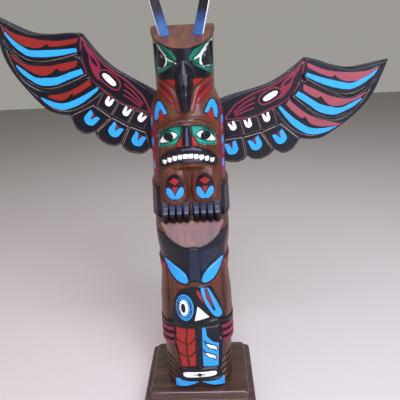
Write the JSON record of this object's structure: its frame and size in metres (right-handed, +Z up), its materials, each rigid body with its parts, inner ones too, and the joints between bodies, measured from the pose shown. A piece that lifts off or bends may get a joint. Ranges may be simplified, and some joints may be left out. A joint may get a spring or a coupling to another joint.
{
  "type": "model totem pole",
  "caption": "Small carved and painted wooden totem pole with spread wings and ear-horns, standing on a stepped plinth as an ornament.",
  "frame": {"origin": "centre of the plinth's underside, on the surface it stands on", "axes": "+Z up the pole, -Y out of the carved front, +X to the viewer's right as seen from the front"},
  "size_m": [0.4613, 0.1318, 0.5574],
  "materials": {
    "carved_cedar": "carved cedar, brown stain and brush paint under satin varnish",
    "painted_wing": "carved board in black, red and sky-blue paint under satin varnish",
    "painted_horn": "slat painted black above and blue below, bare at the edges",
    "stained_plinth": "dark brown stain under satin varnish"
  },
  "bodies": {
    "root": {"pole": "carved_cedar", "wing_left": "painted_wing", "wing_right": "painted_wing", "horn_left": "painted_horn", "horn_right": "painted_horn", "plinth": "stained_plinth"}
  },
  "joints": []
}
